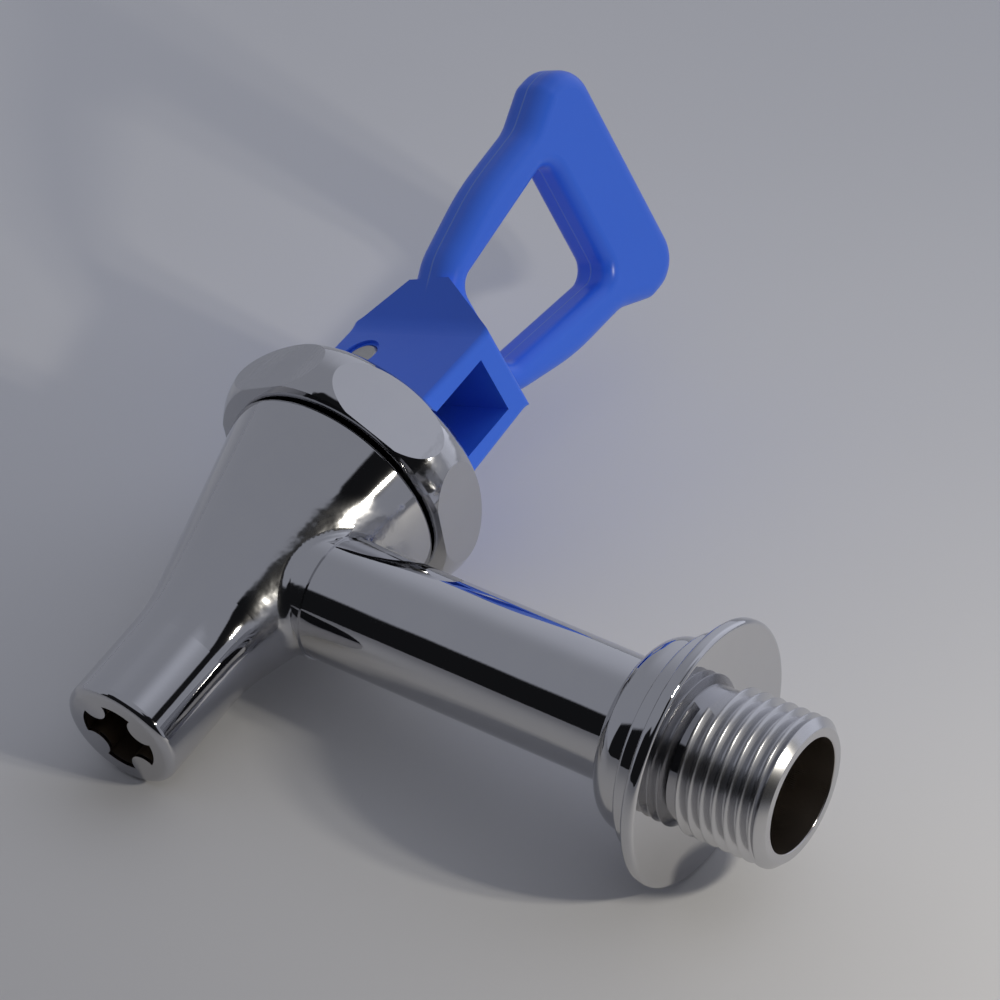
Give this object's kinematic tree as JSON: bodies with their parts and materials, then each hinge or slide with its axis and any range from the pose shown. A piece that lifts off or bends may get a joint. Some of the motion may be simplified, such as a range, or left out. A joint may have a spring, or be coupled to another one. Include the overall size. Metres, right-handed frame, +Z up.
{
  "type": "bag in box tap",
  "caption": "Chrome plated drinks tap with a tapered body, ribbed spout mouth, threaded shank with a stepped flange, hexagon bonnet and a blue loop lever.",
  "frame": {"origin": "centre of the flange's tank side face, on the shank's axis", "axes": "+Y along the shank into the tank, +Z up the body's axis to the handle, spout down"},
  "size_m": [0.0412, 0.1045, 0.1244],
  "materials": {
    "plated_brass": "bright chrome plate on brass",
    "lever_plastic": "glossy blue moulding",
    "steel": "plain stainless steel",
    "silicone": "translucent white silicone",
    "acetal": "white acetal"
  },
  "bodies": {
    "tap": {"tap_body": "plated_brass", "shank": "plated_brass", "bonnet": "plated_brass", "bonnet_washer": "acetal", "swivel_washer": "acetal", "seat_cup": "silicone", "spring": "steel"},
    "yoke": {"swivel_yoke": "steel", "yoke_circlip": "steel", "pivot_pin": "steel", "guide_bush": "acetal", "upper_spring_washer": "steel"},
    "lever": {"handle": "lever_plastic"},
    "valve_stem": {"stem": "steel", "lower_spring_washer": "steel"}
  },
  "joints": [
    {"name": "handle_swivel", "type": "hinge", "parent": "tap", "child": "yoke", "pos_m": [0, -0.07176, 0.0276], "axis": [0, 0, 1], "continuous": true},
    {"name": "handle_pull", "type": "hinge", "parent": "yoke", "child": "lever", "pos_m": [-0.00274, -0.07853, 0.037], "axis": [0.9272, -0.3746, 0], "range_deg": [0, 30], "stiffness_Nm_per_rad": 0.06, "springref_deg": -80.21},
    {"name": "stem_lift", "type": "slide", "parent": "tap", "child": "valve_stem", "axis": [0, 0, 1], "range_m": [0, 0.00375], "deforming": ["spring", "seat_cup"]}
  ],
  "couplings": [
    {"joint": "stem_lift", "follows": "handle_pull", "m_per_rad": 0.00716}
  ]
}
